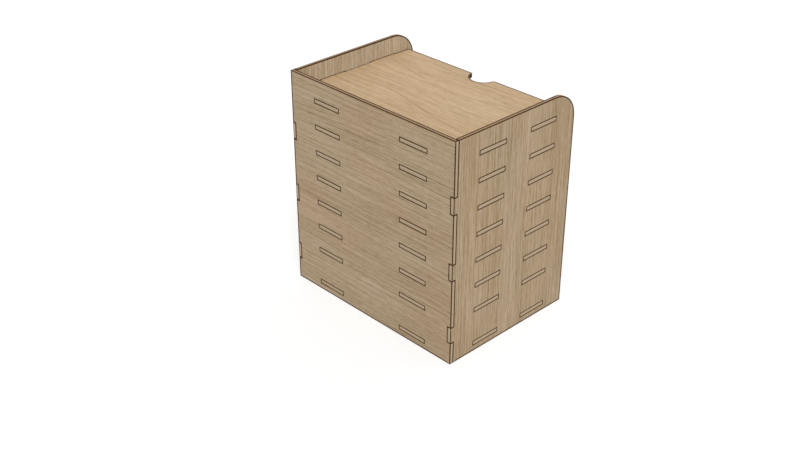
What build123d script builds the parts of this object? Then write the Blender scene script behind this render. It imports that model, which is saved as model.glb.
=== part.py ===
from build123d import *
import os

os.makedirs("parts", exist_ok=True)

# An open-fronted shelf box cut from one thickness of plywood. Sizes are in millimetres.
# The box stands on z = 0, centred on the Z axis. The back panel is at +Y and the
# open front looks towards -Y, so left and right are those of someone facing the front.

# Plywood
sheet = 3.0                 # thickness of every piece
joint_gap = 0.1             # clear gap that the cut leaves on each side of a tab

# Outside of the box
width = 160.0               # over the two side panels
depth = 118.0               # from the front edges to the outer face of the back panel
height = 170.0              # from the ground to the upper edges of the panels

# Stack of shelves, from the ground up
foot_height = 5.0           # ground to the underside of the bottom shelf
tall_bay = 25.0             # clear height above the bottom shelf
low_bay_count = 6           # bays above that one, which share what height is left
tray_depth = 14.0           # top shelf up to the upper edges of the panels

# Side panels
corner_radius = 20.0        # rounded upper front corner

# Shelves
front_recess = 5.0          # shelf front edge behind the front edges of the side panels
notch_radius = 10.0         # half-round finger notch in the middle of the front edge
notch_lip_radius = 2.0      # rounding where the notch meets the front edge

# Tabs of the shelves, which pass through slots in the back and side panels
tab_length = 25.0
back_tab_inset = 22.0       # shelf side edge to the near end of a back tab
rear_side_tab_inset = 20.0  # shelf back edge to the near end of the rear side tab
front_side_tab_inset = 15.0  # shelf front edge to the near end of the front side tab

# Fingers of the side panels, which pass through notches in the edges of the back panel
finger_length = 12.5
finger_spacing = 37.5       # clear height between two fingers
finger_margin = 17.5        # ground to the lowest finger, and the least left at the top

# Planes that the pieces share
outer_x = width / 2
inner_x = outer_x - sheet
front_y = -depth / 2
outer_back_y = depth / 2
inner_back_y = outer_back_y - sheet
shelf_front_y = front_y + front_recess

# Undersides of the shelves above the tall bay, one low bay and one sheet apart
first_low_bay_z = foot_height + sheet + tall_bay
top_shelf_z = height - tray_depth - sheet
shelf_pitch = (top_shelf_z - first_low_bay_z) / low_bay_count

# Places of the tabs, measured to the middle of each
back_tab_x = inner_x - back_tab_inset - tab_length / 2
side_tab_y = [
    inner_back_y - rear_side_tab_inset - tab_length / 2,
    shelf_front_y + front_side_tab_inset + tab_length / 2,
]


def shelf_heights():
    """Heights of the undersides of the shelves, from the bottom one to the top one."""
    heights = [foot_height]
    for step in range(low_bay_count + 1):
        heights.append(first_low_bay_z + step * shelf_pitch)
    return heights


shelf_z = shelf_heights()


def finger_heights():
    """Heights of the middles of the fingers on the rear edge of a side panel."""
    middles = []
    middle = finger_margin + finger_length / 2
    while middle + finger_length / 2 <= height - finger_margin:
        middles.append(middle)
        middle += finger_length + finger_spacing
    return middles


finger_z = finger_heights()


def shelf(underside):
    """A shelf with two tabs on its back and on each side, and the finger notch in front."""
    plate_depth = inner_back_y - shelf_front_y
    outline = Pos(0, shelf_front_y + plate_depth / 2) * Rectangle(2 * inner_x, plate_depth)
    outline -= Pos(0, shelf_front_y) * Circle(notch_radius)
    lips = outline.vertices().group_by(Axis.Y)[0].sort_by(Axis.X)[1:-1]
    outline = fillet(lips, notch_lip_radius)
    for side in (-1, 1):
        outline += Pos(side * back_tab_x, inner_back_y) * Rectangle(tab_length, 2 * sheet)
        for middle in side_tab_y:
            outline += Pos(side * inner_x, middle) * Rectangle(2 * sheet, tab_length)
    return extrude(Pos(0, 0, underside) * outline, sheet)


def slot_outline():
    """The through slot that a tab fills, in the plane of the panel that it is cut in."""
    return Rectangle(tab_length + 2 * joint_gap, sheet + 2 * joint_gap)


def edge_notch_outline():
    """A notch for a finger, centred on the edge of the back panel."""
    return Rectangle(2 * (sheet + joint_gap), finger_length + 2 * joint_gap)


def back_panel():
    """The full back, with slots for the back tabs and edge notches for the fingers."""
    outline = Pos(0, height / 2) * Rectangle(width, height)
    for side in (-1, 1):
        for underside in shelf_z:
            outline -= Pos(side * back_tab_x, underside + sheet / 2) * slot_outline()
        for middle in finger_z:
            outline -= Pos(side * outer_x, middle) * edge_notch_outline()
    return extrude(Plane.XZ.offset(-outer_back_y) * outline, sheet)


def side_panel(side):
    """A side with its rounded corner, slots for the side tabs and fingers on its rear edge.

    The outer face is at -X where side is -1, and at +X where it is 1.
    """
    panel_depth = inner_back_y - front_y
    outline = Pos(front_y + panel_depth / 2, height / 2) * Rectangle(panel_depth, height)
    corner = outline.vertices().sort_by(Axis.Y)[-2:].sort_by(Axis.X)[0]
    outline = fillet(corner, corner_radius)
    for middle in finger_z:
        outline += Pos(inner_back_y, middle) * Rectangle(2 * sheet, finger_length)
    for underside in shelf_z:
        for middle in side_tab_y:
            outline -= Pos(middle, underside + sheet / 2) * slot_outline()
    outer_face = Plane.YZ.offset(side * outer_x)
    return extrude(outer_face * outline, -side * sheet)


pieces = {
    "back_panel": back_panel(),
    "left_side_panel": side_panel(-1),
    "right_side_panel": side_panel(1),
    "bottom_shelf": shelf(shelf_z[0]),
    "top_shelf": shelf(shelf_z[-1]),
}
for number, underside in enumerate(shelf_z[1:-1], start=1):
    pieces[f"middle_shelf_{number}"] = shelf(underside)

for node, piece in pieces.items():
    piece.label = node
    export_step(piece, f"parts/{node}.step")
print(f"{len(pieces)} pieces, {width:.1f} x {depth:.1f} x {height:.1f} mm")
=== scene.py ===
"""Looks of the wooden storage box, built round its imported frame. All lengths are in metres."""

import logging
import math
from dataclasses import dataclass, replace
from enum import Enum
from functools import cache

import bmesh
import bpy
from bmesh.types import BMesh, BMFace, BMLayerItem, BMVert
from bpy.types import Material, Node, NodeSocket, NodeTree, Object
from mathutils import Matrix, Vector


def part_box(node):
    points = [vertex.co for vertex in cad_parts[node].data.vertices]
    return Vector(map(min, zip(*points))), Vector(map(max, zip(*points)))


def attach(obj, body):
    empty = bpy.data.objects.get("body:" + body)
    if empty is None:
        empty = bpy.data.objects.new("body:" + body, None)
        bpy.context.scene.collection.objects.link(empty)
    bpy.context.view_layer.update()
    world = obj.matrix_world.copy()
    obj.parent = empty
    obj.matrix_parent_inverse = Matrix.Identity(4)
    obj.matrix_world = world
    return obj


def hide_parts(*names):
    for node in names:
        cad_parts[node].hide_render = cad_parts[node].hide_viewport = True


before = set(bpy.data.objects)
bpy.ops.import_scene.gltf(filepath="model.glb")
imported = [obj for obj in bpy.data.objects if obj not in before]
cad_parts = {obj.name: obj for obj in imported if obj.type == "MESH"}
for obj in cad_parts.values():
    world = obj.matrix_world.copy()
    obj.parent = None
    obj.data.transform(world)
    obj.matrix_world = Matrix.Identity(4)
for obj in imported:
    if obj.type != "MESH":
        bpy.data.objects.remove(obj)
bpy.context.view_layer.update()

Pair = tuple[float, float]
Triple = tuple[float, float, float]
Colour = tuple[float, float, float, float]
log = logging.getLogger("storage_box")

MM = 0.001
WHITE = (1.0, 1.0, 1.0, 1.0)
# The frame's only body, which every piece rides on
ROOT = "root"
# The angle between two faces from which the edge between them counts as sharp
CREASE = math.radians(30)
# The share of w in a face's normal under which the face is a cut
CUT_BELOW = 0.5
# The distance under which two points are one
SAME_POINT = 0.001 * MM
# The scale that makes Object coordinates millimetres
PER_MM = (1 / MM,) * 3


def paint(red: int, green: int, blue: int) -> Colour:
    """Turns a colour on the usual scale of 0 to 255 into the linear one of the shaders.

    Args:
        red: share of red.
        green: share of green.
        blue: share of blue.

    Returns:
        The linear colour with full cover.
    """
    full, toe_end, toe_slope, lift, power = 255, 0.04045, 12.92, 0.055, 2.4
    shares = (channel / full for channel in (red, green, blue))
    linear = (share / toe_slope if share <= toe_end else ((share + lift) / (1 + lift)) ** power
              for share in shares)
    return (*linear, 1.0)


class Lie(Enum):
    """How a sheet lies in the box: what its own u, v and w directions are there."""

    FLAT = ((1, 0, 0), (0, 1, 0), (0, 0, 1))
    ACROSS = ((1, 0, 0), (0, 0, 1), (0, -1, 0))
    UPRIGHT = ((0, 1, 0), (0, 0, 1), (1, 0, 0))

    def matrix(self, origin: Triple) -> Matrix:
        """From the sheet's u, v and w, which are zero at the origin, to the box's X, Y and Z."""
        turned = Matrix([Vector(axis) for axis in self.value]).transposed().to_4x4()
        return Matrix.Translation(origin) @ turned


class Skin(Enum):
    """The kinds of surface of a plywood piece, in the order of its material slots."""

    FACE = 0
    CUT = 1
    # Inward face of a panel: its veneer painted paler, as painted light over the shade inside the
    # box
    LINING = 2


class Grain(Enum):
    """How the grain runs in a sheet, as the turn that lays it along X on a level face."""

    LEVEL = (0.0, 0.0, 0.0)
    ACROSS = (math.pi / 2, 0.0, 0.0)
    UPRIGHT = (0.0, math.pi / 2, 0.0)


class Brown(Enum):
    """How far the brown of the cut spreads from an edge, as the layer's value on that edge."""

    WIDE = 3.0
    FULL = 0.95
    MEDIUM = 0.8
    NARROW = 0.72


@dataclass(frozen=True)
class Joinery:
    """The sizes that the pieces of the box share beside those that the frame gives.

    Attributes:
        gap: clear gap on each side of a tab in its slot.
        tab: length of a shelf's tab.
        back_tab_inset: shelf side edge to the near end of a back tab.
        rear_side_tab_inset: shelf back edge to the near end of the rear side tab.
        front_side_tab_inset: shelf front edge to the near end of the front side tab.
        finger: length of a finger on a side panel's rear edge.
        finger_spacing: clear height between two fingers.
        finger_margin: ground to the lowest finger, and the least left at the top.
        corner_radius: rounding of a side panel's upper front corner.
        notch_radius: radius of the finger notch in a shelf's front edge.
        lip_radius: rounding where the notch meets the front edge.
        arris: rounding that sanding leaves along each cut edge.
        arris_strips: how many flat strips make up that rounding.
        face_strip: width of the strip along a face's edge in which the brown of the cut fades.
        cut_strip: width of the same strip on a cut edge.
        arc_step: how far an arc turns in one straight step, in degrees.
        lip_step: how far the small arc where the notch meets the front edge does.
    """

    gap: float = 0.1 * MM
    tab: float = 25 * MM
    back_tab_inset: float = 22 * MM
    rear_side_tab_inset: float = 20 * MM
    front_side_tab_inset: float = 15 * MM
    finger: float = 12.5 * MM
    finger_spacing: float = 37.5 * MM
    finger_margin: float = 17.5 * MM
    corner_radius: float = 20 * MM
    notch_radius: float = 10 * MM
    lip_radius: float = 2 * MM
    arris: float = 0.12 * MM
    arris_strips: int = 2
    face_strip: float = 1.4 * MM
    cut_strip: float = 1.3 * MM
    arc_step: float = 4.5
    lip_step: float = 13.5

    @property
    def notch_reach(self) -> float:
        """From the middle of the finger notch to the middle of its rounding."""
        return self.notch_radius + self.lip_radius


@dataclass(frozen=True)
class Plan:
    """Where the planes of the box lie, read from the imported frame.

    Attributes:
        sheet: thickness of the plywood.
        outer_x: outer face of the right side panel.
        front_y: front edges of the side panels.
        outer_back_y: outer face of the back panel.
        shelf_front_y: front edges of the shelves.
        height: upper edges of the panels.
        shelves: nodes of the shelves, from the bottom one to the top one.
        shelf_z: undersides of the shelves, in the same order.
    """

    sheet: float
    outer_x: float
    front_y: float
    outer_back_y: float
    shelf_front_y: float
    height: float
    shelves: tuple[str, ...]
    shelf_z: tuple[float, ...]

    @classmethod
    def from_frame(cls) -> "Plan":
        """Reads the plan from the boxes of the frame's nodes.

        Returns:
            The plan.
        """
        back_low, back_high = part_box("back_panel")
        side_low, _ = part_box("left_side_panel")
        shelves = sorted((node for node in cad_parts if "shelf" in node),
                         key=lambda node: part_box(node)[0].z)
        return cls(
            sheet=back_high.y - back_low.y, outer_x=back_high.x, front_y=side_low.y,
            outer_back_y=back_high.y, shelf_front_y=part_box(shelves[0])[0].y,
            height=back_high.z, shelves=tuple(shelves),
            shelf_z=tuple(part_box(node)[0].z for node in shelves))

    @property
    def inner_x(self) -> float:
        """Inner face of the right side panel."""
        return self.outer_x - self.sheet

    @property
    def inner_back_y(self) -> float:
        """Inner face of the back panel."""
        return self.outer_back_y - self.sheet


@dataclass(frozen=True)
class Mark:
    """One kind of mark in wood, as lumps of noise drawn out along the grain.

    Attributes:
        rate: lumps in a millimetre along the grain, across it and through the sheet.
        detail: how many finer layers the noise has.
        roughness: how strong each finer layer is against the one before.
        low: noise value at which the mark starts.
        high: noise value at which it is full.
    """

    rate: Triple
    detail: float
    roughness: float
    low: float
    high: float


# The marks of the grain, and the range in which most of a noise lies
LINE = Mark(rate=(1.0, 1.0, 1.0), detail=2.0, roughness=0.6, low=0.42, high=0.74)
HAIRLINE = Mark(rate=(0.02, 1.3, 0.3), detail=1.0, roughness=0.6, low=0.35, high=0.7)
PORE = Mark(rate=(0.15, 1.0, 0.4), detail=3.0, roughness=0.7, low=0.35, high=0.75)
FIGURE = Mark(rate=(0.003, 0.045, 0.02), detail=1.0, roughness=0.5, low=0.3, high=0.7)
PATCH = Mark(rate=(0.014, 0.028, 0.02), detail=1.0, roughness=0.5, low=0.3, high=0.7)
RING_FADE = Mark(rate=(0.01, 0.06, 0.05), detail=1.0, roughness=0.5, low=0.3, high=0.6)
NOISE_RANGE = (0.3, 0.7)


class Wiring:
    """A node tree with short calls that add its nodes and wire them.

    Attributes:
        mix_inputs: places of the share and the two colours among a Mix node's inputs.
        mix_output: place of the mixed colour among its outputs.
        noise_mean: value that a noise wavers about.
        bump_depth: how deep a bump of full strength is.
    """

    mix_inputs = (0, 6, 7)
    mix_output = 2
    noise_mean = 0.5
    bump_depth = 0.05 * MM

    def __init__(self, tree: NodeTree) -> None:
        """Keeps the tree that the calls add to."""
        self.tree = tree

    @classmethod
    def material(cls, name: str) -> tuple[Material, "Wiring"]:
        """Starts a material.

        Args:
            name: the material's name.

        Returns:
            The material and its wiring.
        """
        made = bpy.data.materials.new(name)
        made.use_nodes = True
        return made, cls(made.node_tree)

    def feed(self, node: Node, inputs: dict[str | int, object]) -> None:
        """Sets a node's inputs.

        Args:
            node: the node.
            inputs: value or source socket of each input that is set, by name or place.
        """
        for name, value in inputs.items():
            if isinstance(value, NodeSocket):
                self.tree.links.new(value, node.inputs[name])
            else:
                node.inputs[name].default_value = value

    def surface(self, inputs: dict[str, object]) -> None:
        """Sets the inputs of a material's surface shader."""
        self.feed(self.tree.nodes["Principled BSDF"], inputs)

    def add(self, kind: str, inputs: dict[str | int, object] | None = None,
            **settings: object) -> Node:
        """Adds a node.

        Args:
            kind: the node's type.
            inputs: value or source socket of each input that is set, by name or place.
            settings: the node's own properties.

        Returns:
            The node.
        """
        node = self.tree.nodes.new(kind)
        for name, value in settings.items():
            setattr(node, name, value)
        self.feed(node, inputs or {})
        return node

    def maths(self, operation: str, first: object, second: object = 0.0,
              clamp: bool = False) -> NodeSocket:
        """Adds a Math node and gives its result, kept between 0 and 1 where clamp is set."""
        return self.add("ShaderNodeMath", {0: first, 1: second}, operation=operation,
                        use_clamp=clamp).outputs[0]

    def vector(self, operation: str, first: object, second: object) -> NodeSocket:
        """Adds a Vector Math node and gives its result."""
        return self.add("ShaderNodeVectorMath", {0: first, 1: second},
                        operation=operation).outputs[0]

    def blend(self, share: object, first: object, second: object) -> NodeSocket:
        """Adds a colour Mix node, in which share is how much of the second colour shows."""
        inputs = dict(zip(self.mix_inputs, (share, first, second)))
        return self.add("ShaderNodeMix", inputs, data_type="RGBA").outputs[self.mix_output]

    def spread(self, value: object, low: float, high: float,
               to_low: float = 0.0, to_high: float = 1.0) -> NodeSocket:
        """Maps a value from one range to another, smoothly.

        Args:
            value: the value.
            low: where its range starts.
            high: where its range ends.
            to_low: the result at and before the start.
            to_high: the result at and past the end.

        Returns:
            The result.
        """
        node = self.add("ShaderNodeMapRange", {"Value": value, "From Min": low, "From Max": high,
                                               "To Min": to_low, "To Max": to_high},
                        interpolation_type="SMOOTHSTEP")
        return node.outputs[0]

    def layer(self, name: str) -> NodeSocket:
        """Adds an Attribute node that reads one of the mesh's own layers, and gives its value."""
        return self.add("ShaderNodeAttribute", attribute_name=name).outputs["Fac"]

    def noise(self, place: object, detail: float = 2.0, roughness: float = 0.5) -> NodeSocket:
        """Adds a Noise Texture whose lumps are one unit of place, and gives its value."""
        inputs = {"Vector": place, "Scale": 1.0, "Detail": detail, "Roughness": roughness}
        return self.add("ShaderNodeTexNoise", inputs).outputs["Fac"]

    def mark(self, place: object, kind: Mark) -> NodeSocket:
        """Adds one kind of mark and gives how strong it is, from 0 to 1."""
        lumps = self.noise(self.vector("MULTIPLY", place, kind.rate), kind.detail, kind.roughness)
        return self.spread(lumps, kind.low, kind.high)

    def sway(self, place: object, size: object) -> NodeSocket:
        """Adds a noise that sways to both sides of 0, within half of size."""
        noise = self.maths("SUBTRACT", self.noise(place), self.noise_mean)
        return self.maths("MULTIPLY", noise, size)

    def bump(self, height: object, strength: float) -> NodeSocket:
        """Adds a Bump node and gives its normal."""
        return self.add("ShaderNodeBump", {"Strength": strength, "Distance": self.bump_depth,
                                           "Height": height}).outputs[0]


class Effects:
    """The shader node groups that the finishes share, each made once.

    Attributes:
        stray_rate: bends of the grain in a millimetre along it, across it and through the sheet.
        line_depth_rate: fine lines in a millimetre through the sheet.
        warp_rate: bends of the growth rings in a millimetre along, across and through.
        warp_rings: how many rings such a bend spans.
        browned_from: value of the layer at which the brown of a cut starts to show.
        browned_to: value of the layer from which it is full.
        unevenness: how much that value wavers along the cut.
    """

    stray_rate = (0.008, 0.02, 0.02)
    line_depth_rate = 0.1
    warp_rate = (0.006, 0.013, 0.01)
    warp_rings = 4.0
    browned_from = 0.4
    browned_to = 0.55
    unevenness = 0.16

    @staticmethod
    def start(name: str, inputs: list[str], outputs: list[str]) -> tuple[Wiring, Node, Node]:
        """Starts a group, whose first input is the place on the piece.

        Args:
            name: the group's name.
            inputs: names of its other inputs, each a number.
            outputs: names of its outputs, each a number.

        Returns:
            Its wiring, its input node and its output node.
        """
        tree = bpy.data.node_groups.new(name, "ShaderNodeTree")
        tree.interface.new_socket(name="Place", in_out="INPUT", socket_type="NodeSocketVector")
        for way, sockets in (("INPUT", inputs), ("OUTPUT", outputs)):
            for socket in sockets:
                tree.interface.new_socket(name=socket, in_out=way, socket_type="NodeSocketFloat")
        wiring = Wiring(tree)
        return wiring, wiring.add("NodeGroupInput"), wiring.add("NodeGroupOutput")

    @classmethod
    @cache
    def grain(cls) -> NodeTree:
        """Wood grain: X of the place runs along it, and Y across it, in millimetres.

        Spacing is the distance between fine lines, Length how far one runs, Bend how far it
        strays, Ring the distance between the bold lines of the growth rings, and Ring Width
        how wide one is. Each output is 0 in plain wood and rises to 1 where its mark is darkest.

        Returns:
            The group.
        """
        wiring, given, gives = cls.start(
            "wood_grain", ["Spacing", "Length", "Bend", "Ring", "Ring Width"],
            ["Lines", "Hairlines", "Pores", "Figure", "Patches", "Rings"])
        place = given.outputs["Place"]
        stray = wiring.sway(wiring.vector("MULTIPLY", place, cls.stray_rate),
                            given.outputs["Bend"])
        apart = wiring.add("ShaderNodeSeparateXYZ", {0: place}).outputs
        across = wiring.maths("ADD", apart[1], stray)
        bent = wiring.add("ShaderNodeCombineXYZ", {0: apart[0], 1: across, 2: apart[2]}).outputs[0]
        lines_at = wiring.add("ShaderNodeCombineXYZ", {
            0: wiring.maths("DIVIDE", apart[0], given.outputs["Length"]),
            1: wiring.maths("DIVIDE", across, given.outputs["Spacing"]),
            2: wiring.maths("MULTIPLY", apart[2], cls.line_depth_rate)}).outputs[0]
        lines = wiring.mark(lines_at, LINE)
        warp = wiring.noise(wiring.vector("MULTIPLY", bent, cls.warp_rate), detail=1.0)
        phase = wiring.maths("ADD", wiring.maths("DIVIDE", across, given.outputs["Ring"]),
                             wiring.maths("MULTIPLY", warp, cls.warp_rings))
        # A bold line lies where the phase is half way from one whole number to the next
        half = 0.5
        off_line = wiring.maths("ABSOLUTE", wiring.maths(
            "SUBTRACT", wiring.maths("FRACT", phase), half))
        widths = wiring.maths("DIVIDE", given.outputs["Ring"], given.outputs["Ring Width"])
        ring = wiring.spread(wiring.maths("MULTIPLY", off_line, widths), 0.0, half, 1.0, 0.0)
        rings = wiring.maths("MULTIPLY", ring, wiring.mark(bent, RING_FADE))
        marks = {"Hairlines": HAIRLINE, "Pores": PORE, "Figure": FIGURE, "Patches": PATCH}
        wiring.feed(gives, {socket: wiring.mark(bent, kind) for socket, kind in marks.items()})
        wiring.feed(gives, {"Lines": lines, "Rings": rings})
        return wiring.tree

    @classmethod
    @cache
    def browning(cls) -> NodeTree:
        """The browned line along a cut edge, with an uneven rim, from the mesh's own layer.

        Returns:
            The group.
        """
        wiring, given, gives = cls.start("cut_browning", ["Layer", "Unevenness"], ["Mask"])
        uneven = wiring.sway(given.outputs["Place"], given.outputs["Unevenness"])
        depth = wiring.maths("ADD", given.outputs["Layer"], uneven)
        mask = wiring.spread(depth, cls.browned_from, cls.browned_to)
        wiring.feed(gives, {"Mask": mask})
        return wiring.tree


@dataclass(frozen=True)
class Finish:
    """The look of one kind of surface.

    Attributes:
        name: the material's name.
        scorch: colour of the browned line at a cut.
        gloss: strength of the mirror gloss.
        rough: how rough the smoothest and the roughest spots are.
        relief: how strongly the marks are sunk or stand out.
    """

    name: str
    scorch: Colour
    gloss: float
    rough: Pair
    relief: float

    def material(self, number: int) -> Material:
        """Makes the material of one sheet, by its place in the row of sheets."""
        raise NotImplementedError

    def lay(self, wiring: Wiring, place: object, browned: object, wood: object, rough: object,
            height: object) -> None:
        """Lays the browned line over the wood and wires the surface.

        Args:
            wiring: the material's wiring.
            place: the place on the piece, in millimetres.
            browned: the layer that falls from a cut edge to 0 across its browned line.
            wood: colour of the wood.
            rough: how rough it is.
            height: how high it stands.
        """
        mask = wiring.add("ShaderNodeGroup", {
            "Place": place, "Layer": browned, "Unevenness": Effects.unevenness},
            node_tree=Effects.browning()).outputs["Mask"]
        wiring.surface({"Base Color": wiring.blend(mask, wood, self.scorch), "Roughness": rough,
                        "Specular IOR Level": self.gloss,
                        "Normal": wiring.bump(height, self.relief)})


@dataclass(frozen=True)
class Veneer(Finish):
    """A bare, sanded face veneer.

    Attributes:
        cool: colour of the plain wood in the cooler patches.
        warm: colour of the plain wood in the warmer patches.
        dark: colour that all marks tend to.
        grain: how the grain runs.
        spacing: distance between fine lines, in millimetres.
        length: how far a fine line runs, in millimetres.
        bend: how far a line strays sideways, in millimetres.
        ring: distance between the bold lines, in millimetres.
        ring_width: width of a bold line, in millimetres.
        lines: how strongly the fine lines show, from 0 to 1.
        hairlines: how strongly the finest lines show.
        pores: how strongly the short pores show.
        figure: how strongly the broad shades show.
        rings: how strongly the bold lines show.
        start: where its first sheet was cut from it, in millimetres.
        step: how much farther on each next sheet was cut from it, in millimetres.
        steps_towards: how that step is shared among the directions.
    """

    cool: Colour
    warm: Colour
    dark: Colour
    grain: Grain
    spacing: float
    length: float
    bend: float
    ring: float
    ring_width: float
    lines: float
    hairlines: float
    pores: float
    figure: float
    rings: float
    start: float
    step: float = 370.0
    steps_towards: Triple = (1.0, 0.7, 0.3)

    def material(self, number: int) -> Material:
        """Makes the material of one sheet.

        Args:
            number: the sheet's place in the row of sheets that are cut from the veneer.

        Returns:
            The material.
        """
        made, wiring = Wiring.material(f"{self.name}_{number}")
        place = wiring.add("ShaderNodeTexCoord").outputs["Object"]
        cut_from = Vector(self.steps_towards) * (self.start + self.step * number)
        turned = wiring.add("ShaderNodeMapping", {
            "Vector": place, "Location": cut_from, "Rotation": self.grain.value,
            "Scale": PER_MM}).outputs[0]
        grain = wiring.add("ShaderNodeGroup", {
            "Place": turned, "Spacing": self.spacing, "Length": self.length,
            "Bend": self.bend, "Ring": self.ring, "Ring Width": self.ring_width},
            node_tree=Effects.grain()).outputs
        depth = wiring.maths("MULTIPLY", grain["Lines"], self.lines)
        for socket, share in (("Hairlines", self.hairlines), ("Pores", self.pores),
                              ("Figure", self.figure), ("Rings", self.rings)):
            mark = wiring.maths("MULTIPLY", grain[socket], share)
            depth = wiring.maths("ADD", depth, mark, clamp=True)
        plain = wiring.blend(grain["Patches"], self.cool, self.warm)
        wood = wiring.blend(depth, plain, self.dark)
        rough = wiring.spread(grain["Lines"], 0.0, 1.0, *self.rough)
        # Both are sunk, and their mean counts
        marks = wiring.maths("ADD", grain["Hairlines"], grain["Pores"])
        height = wiring.maths("MULTIPLY", marks, -1 / 2)
        self.lay(wiring, turned, wiring.layer("browned"), wood, rough, height)
        return made


@dataclass(frozen=True)
class CutEdge(Finish):
    """The cut edge of the plywood, with its plies and the fine ribs that the cut leaves.

    Attributes:
        pale: colour of the cut between its ribs.
        dark: colour of a rib.
        core: colour of the middle ply.
        rib: distance between two ribs, in millimetres.
        rib_share: how strongly the ribs show, from 0 to 1.
        core_share: share of the thickness that the middle ply takes.
        core_fade: share of the thickness in which it turns into the other plies, on each side.
        core_cover: how strongly it shows.
        char: factor on the layer of the browned lines.
        rim_outside: what a panel's upper rim adds to that factor at the outer face.
        rim_inside: what it adds at the inner face.
        rim_turn: where in the thickness the one gives way to the other, from 0 to 1.
        toast: share of each colour that is left in the browner wood of the upper rim.
        fibre_rate: ends of fibres in a millimetre.
        fibre_share: how strongly they show.
    """

    pale: Colour
    dark: Colour
    core: Colour
    rib: float
    rib_share: float
    core_share: float
    core_fade: float
    core_cover: float
    char: float
    rim_outside: float
    rim_inside: float
    rim_turn: Pair
    toast: Triple
    fibre_rate: float
    fibre_share: float

    def material(self, number: int) -> Material:
        """Makes the material, which all the sheets share.

        Args:
            number: the sheet's place in the row of sheets, which changes nothing here.

        Returns:
            The material.
        """
        if self.name in bpy.data.materials:
            return bpy.data.materials[self.name]
        made, wiring = Wiring.material(self.name)
        place = wiring.add("ShaderNodeTexCoord").outputs["Object"]
        scaled = wiring.add("ShaderNodeMapping", {"Vector": place, "Scale": PER_MM}).outputs[0]
        rim = wiring.spread(wiring.layer("rim"), 0.0, 1.0)
        slant = wiring.add("ShaderNodeVectorMath", {0: scaled, 1: (1.0, -1.0, 1.0)},
                           operation="DOT_PRODUCT").outputs["Value"]
        wave = wiring.maths("SINE", wiring.maths("MULTIPLY", slant, 2 * math.pi / self.rib))
        fibres = wiring.noise(wiring.vector("MULTIPLY", scaled, (self.fibre_rate,) * 3))
        ribs = wiring.maths("ADD", wiring.spread(wave, -1.0, 1.0, 0.0, self.rib_share),
                            wiring.maths("MULTIPLY", fibres, self.fibre_share), clamp=True)
        ply, middle, half = wiring.layer("ply"), 0.5, self.core_share / 2
        from_middle = wiring.maths("ABSOLUTE", wiring.maths("SUBTRACT", ply, middle))
        core = wiring.spread(from_middle, half - self.core_fade, half + self.core_fade,
                             self.core_cover, 0.0)
        plain = wiring.blend(core, wiring.blend(ribs, self.pale, self.dark), self.core)
        wood = wiring.blend(rim, plain, wiring.vector("MULTIPLY", plain, self.toast))
        more = wiring.spread(ply, *self.rim_turn, self.rim_outside, self.rim_inside)
        char = wiring.maths("ADD", wiring.maths("MULTIPLY", rim, more), self.char)
        browned = wiring.maths("MULTIPLY", wiring.layer("browned"), char)
        rough = wiring.spread(fibres, *NOISE_RANGE, *self.rough)
        self.lay(wiring, scaled, browned, wood, rough, ribs)
        return made


SCORCH = paint(76, 48, 18)
CHAR = paint(64, 41, 16)
SHELF_VENEER = Veneer(
    name="shelf_veneer", scorch=SCORCH, gloss=0.15, rough=(0.56, 0.68), relief=0.5,
    cool=paint(194, 168, 137), warm=paint(194, 165, 134), dark=paint(148, 122, 80),
    grain=Grain.LEVEL, spacing=2.6, length=70.0, bend=9.0, ring=22.0, ring_width=2.6,
    lines=0.17, hairlines=0.28, pores=0.4, figure=0.08, rings=0.34, start=9210.0)
BACK_VENEER = replace(
    SHELF_VENEER, name="back_veneer", cool=paint(192, 171, 145), warm=paint(190, 165, 139),
    dark=paint(120, 99, 55), grain=Grain.ACROSS, spacing=1.1, length=140.0, bend=5.0,
    ring=4.4, ring_width=1.1, lines=0.23, hairlines=0.33, pores=0.33, figure=0.1, rings=0.3,
    start=15170.0)
# Painted light: the back's inward face gets a paler copy of its veneer, which offsets the shade
# inside the box
BACK_PAINTED_LIGHT_INSIDE = replace(BACK_VENEER, name="back_painted_light_inside", cool=paint(202, 181, 157),
                      warm=paint(200, 178, 152))
SIDE_VENEER = replace(
    SHELF_VENEER, name="side_veneer", cool=paint(189, 169, 144), warm=paint(189, 166, 139),
    dark=paint(126, 100, 55), grain=Grain.UPRIGHT, spacing=1.1, length=180.0, bend=5.0,
    ring=3.6, ring_width=0.95, lines=0.16, hairlines=0.38, pores=0.3, figure=0.13, rings=0.22,
    start=5007.0)
# Painted light: the sides' inward faces get a paler, less warm copy of their veneer, which offsets
# the shade and the warm bounce inside the box
SIDE_PAINTED_LIGHT_INSIDE = replace(SIDE_VENEER, name="side_painted_light_inside", cool=paint(200, 186, 164),
                      warm=paint(199, 182, 157))
CUT_EDGE = CutEdge(
    name="cut_edge", scorch=CHAR, gloss=0.1, rough=(0.66, 0.8), relief=0.4,
    pale=paint(190, 171, 144), dark=paint(158, 138, 111), core=paint(166, 146, 118), rib=1.6,
    rib_share=0.35, core_share=0.36, core_fade=0.04, core_cover=0.35, char=0.86,
    rim_outside=0.34, rim_inside=6.1, rim_turn=(0.4, 0.6), toast=(0.785, 0.69, 0.61),
    fibre_rate=1.5, fibre_share=0.5)


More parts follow.
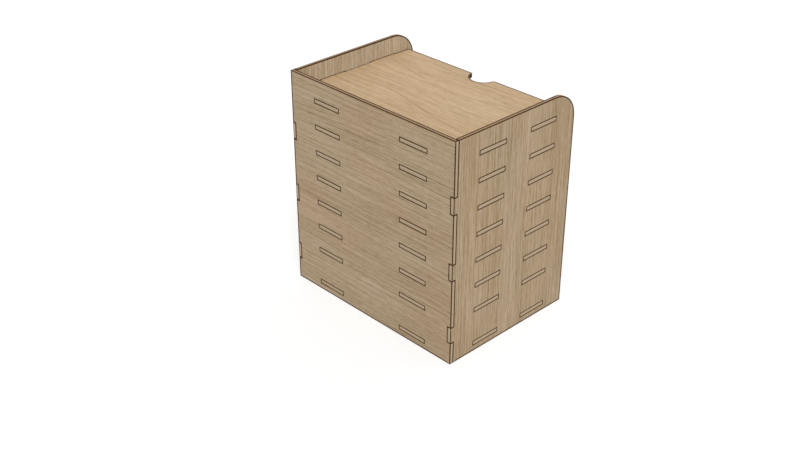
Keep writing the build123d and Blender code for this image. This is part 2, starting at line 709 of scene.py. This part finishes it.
class Outline:
    """Draws an outline in a mesh by pushing a point along lines and arcs."""

    def __init__(self, mesh: BMesh, u: float, v: float, brown: Brown) -> None:
        """Starts the outline.

        Args:
            mesh: the mesh that takes the outline.
            u: first coordinate of the first point.
            v: second coordinate of the first point.
            brown: how far the edge is browned there.
        """
        self.mesh = mesh
        self.browned = mesh.verts.layers.float["browned"]
        self.first = mesh.verts.new((u, v, 0))
        self.first[self.browned] = brown.value
        self.point = self.first

    def line(self, u: float, v: float, brown: Brown) -> None:
        """Pushes the point in a straight line.

        Args:
            u: first coordinate of the line's end.
            v: second coordinate of the line's end.
            brown: how far the edge is browned there.
        """
        made = bmesh.ops.extrude_vert_indiv(self.mesh, verts=[self.point])["verts"]
        bmesh.ops.translate(self.mesh, verts=made, vec=Vector((u, v, 0)) - self.point.co)
        self.point = made[0]
        self.point[self.browned] = brown.value

    def arc(self, u: float, v: float, degrees: float, step: float, brown: Brown) -> None:
        """Pushes the point along an arc.

        Args:
            u: first coordinate of the arc's centre.
            v: second coordinate of the arc's centre.
            degrees: how far the arc turns, anticlockwise.
            step: how far one straight step turns, in degrees.
            brown: how far the edge is browned at the arc's end.
        """
        steps = math.ceil(abs(degrees) / step)
        bmesh.ops.spin(self.mesh, geom=[self.point], cent=(u, v, 0), axis=(0, 0, 1),
                       angle=math.radians(degrees), steps=steps)
        self.mesh.verts.ensure_lookup_table()
        rise = (brown.value - self.point[self.browned]) / steps
        for point in self.mesh.verts[-steps:]:
            point[self.browned] = self.point[self.browned] + rise
            self.point = point

    def tab(self, along: Pair, out: Pair, length: float, tip: Brown, base: Brown) -> None:
        """Draws a tab, a finger or a notch: out, along and back again.

        Args:
            along: direction of the edge that carries it.
            out: step from that edge to the tab's end.
            length: length of the tab along the edge.
            tip: how far the edge is browned at the tab's end.
            base: how far it is browned where the tab starts.
        """
        corner = Vector((*out, 0)) + self.point.co
        self.line(corner.x, corner.y, tip)
        end = corner + Vector((*along, 0)) * length
        self.line(end.x, end.y, tip)
        self.line(end.x - out[0], end.y - out[1], base)

    def fill(self, mirrored: bool) -> BMFace:
        """Closes the outline and fills it with one face.

        Args:
            mirrored: whether what was drawn is the half of the outline at u above 0.

        Returns:
            The face.
        """
        if mirrored:
            drawn = self.mesh.verts[:] + self.mesh.edges[:]
            bmesh.ops.mirror(self.mesh, geom=drawn, axis="X", merge_dist=SAME_POINT)
        else:
            self.mesh.edges.new((self.point, self.first))
        return bmesh.ops.contextual_create(self.mesh, geom=self.mesh.edges[:])["faces"][0]


def set_out(mesh: BMesh, name: str) -> Object:
    """Makes a finished mesh an object of the scene.

    Args:
        mesh: the mesh, which is freed.
        name: name of the object.

    Returns:
        The object.
    """
    data = bpy.data.meshes.new(name)
    mesh.to_mesh(data)
    mesh.free()
    made = bpy.data.objects.new(name, data)
    bpy.context.scene.collection.objects.link(made)
    return made


def is_cut(face: BMFace) -> bool:
    """Whether a face stands upright on the sheet's plane, as the cuts do."""
    return abs(face.normal.z) < CUT_BELOW


@dataclass
class CutSheet:
    """One piece cut from the plywood sheet: what all the pieces have in common.

    Attributes:
        node: the frame's node that the piece stands for.
        plan: the planes of the box.
        joinery: the sizes of the joints.
        inner_side: 1 where the box lies on the side of the sheet's w, and -1 on the other.
        lie: how the sheet lies in the box.
        slot_name: name of a material slot, which nothing here uses.
        finishes: the look of each kind of surface that the piece has.
        line_hold: how strongly a browned line keeps its width on a cut where it is wide
            on the face.
    """

    node: str
    plan: Plan
    joinery: Joinery
    inner_side: int = 1

    lie = Lie.FLAT
    slot_name = "shelf_plywood"
    finishes = {Skin.FACE: SHELF_VENEER, Skin.CUT: CUT_EDGE}
    line_hold = 1.5

    def origin(self) -> Triple:
        """Where the sheet's own u, v and w are zero."""
        raise NotImplementedError

    def outline(self, mesh: BMesh) -> BMFace:
        """Draws and fills the sheet's outline in its own u and v."""
        raise NotImplementedError

    def slots(self) -> list[Pair]:
        """Middles of the slots that tabs of other pieces pass through."""
        return []

    def fingers(self) -> list[float]:
        """Places the fingers that join a side and the back.

        Returns:
            The heights of their lower ends, from the lowest one up.
        """
        lows = []
        low = self.joinery.finger_margin
        while low + self.joinery.finger <= self.plan.height - self.joinery.finger_margin:
            lows.append(low)
            low += self.joinery.finger + self.joinery.finger_spacing
        return lows

    def side_tabs(self) -> list[float]:
        """Places the tabs on a shelf's sides.

        Returns:
            The front end of each, from the front one to the rear one.
        """
        sizes = self.joinery
        return [self.plan.shelf_front_y + sizes.front_side_tab_inset,
                self.plan.inner_back_y - sizes.rear_side_tab_inset - sizes.tab]

    def back_tab(self) -> float:
        """Near end of a shelf's back tab, from the middle of the box."""
        return self.plan.inner_x - self.joinery.back_tab_inset - self.joinery.tab

    def build(self) -> Object:
        """Makes the piece and gives it to the frame.

        Returns:
            The finished piece.
        """
        mesh = bmesh.new()
        browned = mesh.verts.layers.float.new("browned")
        ply = mesh.verts.layers.float.new("ply")
        self.lay_face(mesh, browned)
        cut_faces = self.thicken(mesh, ply)
        self.line_cut_faces(mesh, cut_faces, browned)
        self.break_edges(mesh)
        self.mark_rim(mesh)
        bmesh.ops.transform(mesh, matrix=self.lie.matrix(self.origin()), verts=mesh.verts)
        for face in mesh.faces:
            face.smooth = True
        piece = set_out(mesh, self.node + "_wood")
        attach(piece, ROOT)
        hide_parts(self.node)
        return piece

    def lay_face(self, mesh: BMesh, browned: BMLayerItem) -> None:
        """Lays the sheet's lower face, with the browned line along its outline and slots.

        Args:
            mesh: the piece's empty mesh.
            browned: the layer that falls from a cut edge to 0 across its browned line.
        """
        sizes = self.joinery
        plate = self.outline(mesh)
        bmesh.ops.inset_region(mesh, faces=[plate], thickness=sizes.face_strip,
                               use_even_offset=True, use_boundary=True)
        for point in plate.verts:
            point[browned] = 0.0
        margin = sizes.gap + sizes.face_strip
        slot_size = Matrix.Diagonal((sizes.tab + 2 * margin, self.plan.sheet + 2 * margin, 1, 1))
        for u, v in self.slots():
            # A grid of half a unit is one unit wide, so the matrix gives its true size
            made = bmesh.ops.create_grid(mesh, x_segments=1, y_segments=1, size=0.5,
                                         matrix=Matrix.Translation((u, v, 0)) @ slot_size)
            hole = made["verts"][0].link_faces[0]
            bmesh.ops.inset_individual(mesh, faces=[hole], thickness=sizes.face_strip,
                                       use_even_offset=True)
            for point in hole.verts:
                point[browned] = Brown.NARROW.value
            bmesh.ops.delete(mesh, geom=[hole], context="FACES_ONLY")
        bmesh.ops.delete(mesh, geom=[plate], context="FACES_ONLY")
        rims = [edge for edge in mesh.edges if len(edge.link_faces) == 1
                and not any(point[browned] for point in edge.verts)]
        bmesh.ops.triangle_fill(mesh, use_beauty=True, edges=rims, normal=(0, 0, 1))

    def thicken(self, mesh: BMesh, ply: BMLayerItem) -> list[BMFace]:
        """Gives the laid face the sheet's thickness.

        Args:
            mesh: the mesh with the laid face.
            ply: the layer that runs through the thickness, from 0 to 1 at the inner face.

        Returns:
            The cut faces all round the outline and in the slots.
        """
        laid = mesh.verts[:]
        made = bmesh.ops.extrude_face_region(mesh, geom=mesh.faces[:], use_keep_orig=True)
        raised = [item for item in made["geom"] if isinstance(item, BMVert)]
        bmesh.ops.translate(mesh, verts=raised, vec=(0, 0, self.plan.sheet))
        bmesh.ops.recalc_face_normals(mesh, faces=mesh.faces[:])
        for point in raised if self.inner_side > 0 else laid:
            point[ply] = 1.0
        for face in mesh.faces:
            face.material_index = self.skin(face).value
        return [face for face in mesh.faces if is_cut(face)]

    def skin(self, face: BMFace) -> Skin:
        """Which kind of surface a face of the piece is."""
        return Skin.CUT if is_cut(face) else Skin.FACE

    def line_cut_faces(self, mesh: BMesh, cut_faces: list[BMFace], browned: BMLayerItem) -> None:
        """Puts the browned line along the edges of each run of cut faces.

        Args:
            mesh: the thickened mesh.
            cut_faces: its cut faces.
            browned: the layer that falls from a cut edge to 0 across its browned line.
        """
        for run in runs_of(cut_faces):
            bmesh.ops.inset_region(mesh, faces=run, thickness=self.joinery.cut_strip,
                                   use_even_offset=True, use_boundary=True)
            at_edge = {point: point[browned] for face in run for point in face.verts}
            # Charred faces come first, so the others set the points that they share with them
            for face in sorted(run, key=self.charred, reverse=True):
                for point in face.verts:
                    # Below 0 the layer falls faster, which keeps the line narrow on the cut
                    beyond_full = at_edge[point] - Brown.FULL.value
                    bare = -max(0.0, self.line_hold * beyond_full)
                    point[browned] = Brown.FULL.value if self.charred(face) else bare

    def charred(self, face: BMFace) -> bool:
        """Whether a cut face is browned all over, and not just along its edges."""
        return False

    def break_edges(self, mesh: BMesh) -> None:
        """Rounds every sharp edge a little, as sanding does.

        Args:
            mesh: the thickened mesh.
        """
        sharp = [edge for edge in mesh.edges if edge.calc_face_angle() > CREASE]
        bmesh.ops.bevel(mesh, geom=sharp, affect="EDGES", offset=self.joinery.arris,
                        offset_type="OFFSET", segments=self.joinery.arris_strips, profile=0.5,
                        material=-1)

    def mark_rim(self, mesh: BMesh) -> None:
        """Marks the browner upper rim of the pieces that have one."""

    def dress(self, piece: Object, number: int) -> None:
        """Gives the piece its materials.

        Args:
            piece: the finished piece.
            number: its place in the row of sheets that are cut from the veneer.
        """
        for skin in Skin:
            if skin in self.finishes:
                piece.data.materials.append(self.finishes[skin].material(number))


def runs_of(faces: list[BMFace]) -> list[list[BMFace]]:
    """Sorts faces into smooth runs, which end at the creases.

    Args:
        faces: the faces to sort.

    Returns:
        The runs, in the order of their first faces.
    """
    left = dict.fromkeys(faces)
    runs = []
    while left:
        run = [next(iter(left))]
        del left[run[0]]
        for face in run:
            for near in (f for edge in face.edges for f in edge.link_faces):
                if near in left and near.normal.angle(face.normal) < CREASE:
                    del left[near]
                    run.append(near)
        runs.append(run)
    return runs


class Panel(CutSheet):
    """An upright piece, with a browner upper rim and painted light on its inward face: a paler
    copy of its veneer that offsets the shade inside the box.
    """

    def skin(self, face: BMFace) -> Skin:
        """Tells which kind of surface a face of the panel is.

        Args:
            face: a face of the thickened mesh.

        Returns:
            The kind of surface.
        """
        if is_cut(face):
            return Skin.CUT
        # Inward faces take the paler veneer, painted light over the shade inside the box
        return Skin.LINING if face.normal.z * self.inner_side > 0 else Skin.FACE

    def mark_rim(self, mesh: BMesh) -> None:
        """Marks the cut that reaches the top, from 0 where it is upright to 1 where it is level.

        Args:
            mesh: the finished mesh, still in the sheet's own u, v and w.
        """
        rim = mesh.loops.layers.float.new("rim")
        cut_faces = [face for face in mesh.faces if is_cut(face)]
        for run in runs_of(cut_faces):
            top = max(point.co.y for face in run for point in face.verts)
            if top < self.plan.height - self.joinery.arris:
                continue
            members = set(run)
            for face in run:
                for corner in face.loops:
                    around = [near.normal.y for near in corner.vert.link_faces if near in members]
                    corner[rim] = max(0.0, sum(around) / len(around))


class BackPanel(Panel):
    """The full back, with slots for the back tabs and edge notches for the fingers."""

    lie = Lie.ACROSS
    slot_name = "back_plywood"
    # The inward face's finish is the paler veneer, painted light over the shade inside the box
    finishes = {Skin.FACE: BACK_VENEER, Skin.CUT: CUT_EDGE, Skin.LINING: BACK_PAINTED_LIGHT_INSIDE}

    def origin(self) -> Triple:
        """The outer face, on the ground."""
        return (0, self.plan.outer_back_y, 0)

    def outline(self, mesh: BMesh) -> BMFace:
        """Draws the right half, with a notch for each finger, and mirrors it.

        The right edge is then browned more, as the photograph has it.

        Args:
            mesh: the piece's empty mesh.

        Returns:
            The filled face.
        """
        plan, sizes = self.plan, self.joinery
        pen = Outline(mesh, 0, 0, Brown.WIDE)
        pen.line(plan.inner_x, 0, Brown.WIDE)
        pen.line(plan.outer_x, 0, Brown.FULL)
        for low in self.fingers():
            pen.line(plan.outer_x, low - sizes.gap, Brown.FULL)
            pen.tab((0, 1), (-plan.sheet - sizes.gap, 0), sizes.finger + 2 * sizes.gap,
                    tip=Brown.NARROW, base=Brown.FULL)
        pen.line(plan.outer_x, plan.height - plan.sheet, Brown.FULL)
        pen.line(plan.outer_x, plan.height, Brown.MEDIUM)
        pen.line(0, plan.height, Brown.MEDIUM)
        plate = pen.fill(mirrored=True)
        for point in plate.verts:
            if point.co.x > plan.inner_x + sizes.gap and point.co.y < plan.height - sizes.gap:
                point[pen.browned] = Brown.WIDE.value
        return plate

    def slots(self) -> list[Pair]:
        """Places the slots for the shelves' back tabs.

        Returns:
            The middle of each.
        """
        middle = self.back_tab() + self.joinery.tab / 2
        return [(side * middle, z + self.plan.sheet / 2)
                for side in (-1, 1) for z in self.plan.shelf_z]


class SidePanel(Panel):
    """A side with its rounded corner, slots for the side tabs and fingers on its rear edge."""

    lie = Lie.UPRIGHT
    slot_name = "side_plywood"
    # The inward face's finish is the paler veneer, painted light over the shade inside the box
    finishes = {Skin.FACE: SIDE_VENEER, Skin.CUT: CUT_EDGE, Skin.LINING: SIDE_PAINTED_LIGHT_INSIDE}

    def origin(self) -> Triple:
        """The face that looks towards -X, on the ground."""
        outer = self.inner_side > 0
        return (-self.plan.outer_x if outer else self.plan.inner_x, 0, 0)

    def outline(self, mesh: BMesh) -> BMFace:
        """Draws the whole outline from the lower front corner.

        The finger ends of the right panel are browned more, as the photograph has them.

        Args:
            mesh: the piece's empty mesh.

        Returns:
            The filled face.
        """
        plan, sizes = self.plan, self.joinery
        tip = Brown.MEDIUM if self.inner_side > 0 else Brown.FULL
        pen = Outline(mesh, plan.front_y, 0, Brown.WIDE)
        pen.line(plan.inner_back_y - plan.sheet, 0, Brown.WIDE)
        pen.line(plan.inner_back_y, 0, Brown.NARROW)
        for low in self.fingers():
            pen.line(plan.inner_back_y, low, Brown.NARROW)
            pen.tab((0, 1), (plan.sheet, 0), sizes.finger, tip=tip, base=Brown.NARROW)
        pen.line(plan.inner_back_y, plan.height, Brown.MEDIUM)
        centre_y = plan.front_y + sizes.corner_radius
        pen.line(centre_y, plan.height, Brown.FULL)
        pen.arc(centre_y, plan.height - sizes.corner_radius, degrees=90, step=sizes.arc_step,
                brown=Brown.WIDE)
        return pen.fill(mirrored=False)

    def slots(self) -> list[Pair]:
        """Middles of the slots for the shelves' side tabs."""
        return [(end + self.joinery.tab / 2, z + self.plan.sheet / 2)
                for end in self.side_tabs() for z in self.plan.shelf_z]


class Shelf(CutSheet):
    """A shelf with two tabs on its back and on each side, and the finger notch in front."""

    def origin(self) -> Triple:
        """The shelf's underside."""
        return (0, 0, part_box(self.node)[0].z)

    def outline(self, mesh: BMesh) -> BMFace:
        """Draws the right half from the middle of the finger notch, and mirrors it.

        Args:
            mesh: the piece's empty mesh.

        Returns:
            The filled face.
        """
        plan, sizes = self.plan, self.joinery
        front = plan.shelf_front_y
        turn = math.degrees(math.acos(sizes.lip_radius / sizes.notch_reach))
        lip_x = math.sqrt(sizes.notch_reach**2 - sizes.lip_radius**2)
        pen = Outline(mesh, 0, front + sizes.notch_radius, Brown.WIDE)
        pen.arc(0, front, -turn, sizes.arc_step, Brown.WIDE)
        pen.arc(lip_x, front + sizes.lip_radius, turn, sizes.lip_step, Brown.WIDE)
        rim, tip = Brown.FULL, Brown.NARROW
        pen.line(plan.inner_x, front, Brown.WIDE)
        for end in self.side_tabs():
            pen.line(plan.inner_x, end, rim)
            pen.tab((0, 1), (plan.sheet, 0), sizes.tab, tip=tip, base=rim)
        pen.line(plan.inner_x, plan.inner_back_y, rim)
        pen.line(self.back_tab() + sizes.tab, plan.inner_back_y, rim)
        pen.tab((-1, 0), (0, plan.sheet), sizes.tab, tip=tip, base=rim)
        pen.line(0, plan.inner_back_y, rim)
        return pen.fill(mirrored=True)

    def charred(self, face: BMFace) -> bool:
        """Whether a cut face is in the finger notch, where the beam turns slowly."""
        from_middle = face.calc_center_median().xy - Vector((0, self.plan.shelf_front_y))
        return from_middle.length < self.joinery.notch_reach


def aim(item: Object, behind: Vector) -> None:
    """Turns a new lamp or camera, and links it to the scene.

    Args:
        item: the lamp or camera.
        behind: direction from what it shines on or sees to itself.
    """
    item.rotation_mode = "QUATERNION"
    item.rotation_quaternion = behind.to_track_quat("Z", "Y")
    bpy.context.scene.collection.objects.link(item)


@dataclass(frozen=True)
class Lamp:
    """A far soft lamp.

    Attributes:
        name: the lamp's name.
        strength: strength of its light.
        shines_from: direction that it shines from.
        spread: apparent size in degrees, which softens its shadow.
    """

    name: str
    strength: float
    shines_from: Triple
    spread: float

    def hang(self) -> None:
        """Makes the lamp."""
        data = bpy.data.lights.new(self.name, "SUN")
        data.energy = self.strength
        data.angle = math.radians(self.spread)
        aim(bpy.data.objects.new(self.name, data), Vector(self.shines_from))


MAIN_LAMP = Lamp("main_lamp", strength=2.04, shines_from=(-0.5, 0.45, 0.74), spread=30.0)
FRONT_LAMP = Lamp("front_lamp", strength=0.85, shines_from=(0.0, -0.94, 0.34), spread=60.0)


@dataclass(frozen=True)
class Studio:
    """The plain pale floor, the soft light and the camera at the photograph's place.

    Attributes:
        floor_width: width of the square floor.
        floor_seen: colour of the floor to the camera.
        floor_glow: share of its white that doesn't hang on the light, to the camera.
        floor_bounce: colour of the floor to the light that it throws back.
        floor_rough: how rough the floor is.
        sky: strength of the light from all round.
        lamps: the soft lamps.
        eye: place of the camera.
        heading: turn of the view from -Y towards +X, in degrees.
        tilt: fall of the view below the horizon, in degrees.
        lens: focal length in millimetres.
        sensor: width of the camera's sensor in millimetres.
        nearest: the least distance at which the camera sees.
    """

    floor_width: float = 8.0
    floor_seen: Colour = (0.55, 0.55, 0.55, 1.0)
    floor_glow: float = 0.45
    floor_bounce: Colour = (0.6, 0.6, 0.6, 1.0)
    floor_rough: float = 0.9
    sky: float = 0.6
    lamps: tuple[Lamp, ...] = (MAIN_LAMP, FRONT_LAMP)
    eye: Triple = (-0.53365, 0.54598, 0.49103)
    heading: float = 46.1006
    tilt: float = 30.4008
    lens: float = 54.055
    sensor: float = 36.0
    nearest: float = 0.01

    def lay_floor(self) -> None:
        """Lays the floor at the height that the box stands on."""
        mesh = bmesh.new()
        bmesh.ops.create_grid(mesh, x_segments=1, y_segments=1, size=self.floor_width / 2)
        floor = set_out(mesh, "floor")
        finish, wiring = Wiring.material("floor_paint")
        seen = self.seen(wiring)
        wiring.surface({"Base Color": wiring.blend(seen, self.floor_bounce, self.floor_seen),
                        "Emission Color": WHITE,
                        "Emission Strength": wiring.maths("MULTIPLY", seen, self.floor_glow),
                        "Roughness": self.floor_rough, "Specular IOR Level": 0.0})
        floor.data.materials.append(finish)

    @staticmethod
    def seen(wiring: Wiring) -> NodeSocket:
        """Adds what tells the camera's view from the light that falls on the box.

        Args:
            wiring: the node tree that takes the nodes.

        Returns:
            1 for what the camera sees, straight or in gloss or through glass, and else 0.
        """
        rays = wiring.add("ShaderNodeLightPath").outputs
        seen = wiring.maths("MAXIMUM", rays["Is Camera Ray"], rays["Is Glossy Ray"])
        return wiring.maths("MAXIMUM", seen, rays["Is Transmission Ray"])

    def light(self) -> None:
        """Hangs the lamps and fills the world, which is plain white to the camera."""
        for lamp in self.lamps:
            lamp.hang()
        world = bpy.data.worlds.new("studio")
        bpy.context.scene.world = world
        world.use_nodes = True
        wiring = Wiring(world.node_tree)
        world.node_tree.nodes.clear()
        around = wiring.add("ShaderNodeBackground", {"Color": WHITE, "Strength": self.sky})
        white = wiring.add("ShaderNodeBackground", {"Color": WHITE, "Strength": 1.0})
        mixed = wiring.add("ShaderNodeMixShader", {0: self.seen(wiring), 1: around.outputs[0],
                                                   2: white.outputs[0]})
        wiring.add("ShaderNodeOutputWorld", {"Surface": mixed.outputs[0]})

    def place_camera(self) -> None:
        """Sets up the camera."""
        lens = bpy.data.cameras.new("camera")
        lens.lens = self.lens
        lens.sensor_width = self.sensor
        lens.clip_start = self.nearest
        camera = bpy.data.objects.new("camera", lens)
        heading, tilt = math.radians(self.heading), math.radians(self.tilt)
        behind = Vector((-math.sin(heading) * math.cos(tilt), math.cos(heading) * math.cos(tilt),
                         math.sin(tilt)))
        camera.location = self.eye
        aim(camera, behind)
        bpy.context.scene.camera = camera
        bpy.context.scene.view_settings.view_transform = "Standard"


def main() -> None:
    """Builds the box piece by piece, dresses it and sets up the studio."""
    logging.basicConfig(level=logging.INFO, format="%(message)s")
    plan, joinery = Plan.from_frame(), Joinery()
    sheets: list[CutSheet] = [
        BackPanel("back_panel", plan, joinery),
        SidePanel("left_side_panel", plan, joinery),
        SidePanel("right_side_panel", plan, joinery, inner_side=-1)]
    sheets += [Shelf(node, plan, joinery) for node in plan.shelves]
    for number, sheet in enumerate(sheets):
        piece = sheet.build()
        sheet.dress(piece, number)
        log.info("built %s, %d faces", piece.name, len(piece.data.polygons))
    studio = Studio()
    studio.lay_floor()
    studio.light()
    studio.place_camera()


if __name__ == "__main__":
    main()
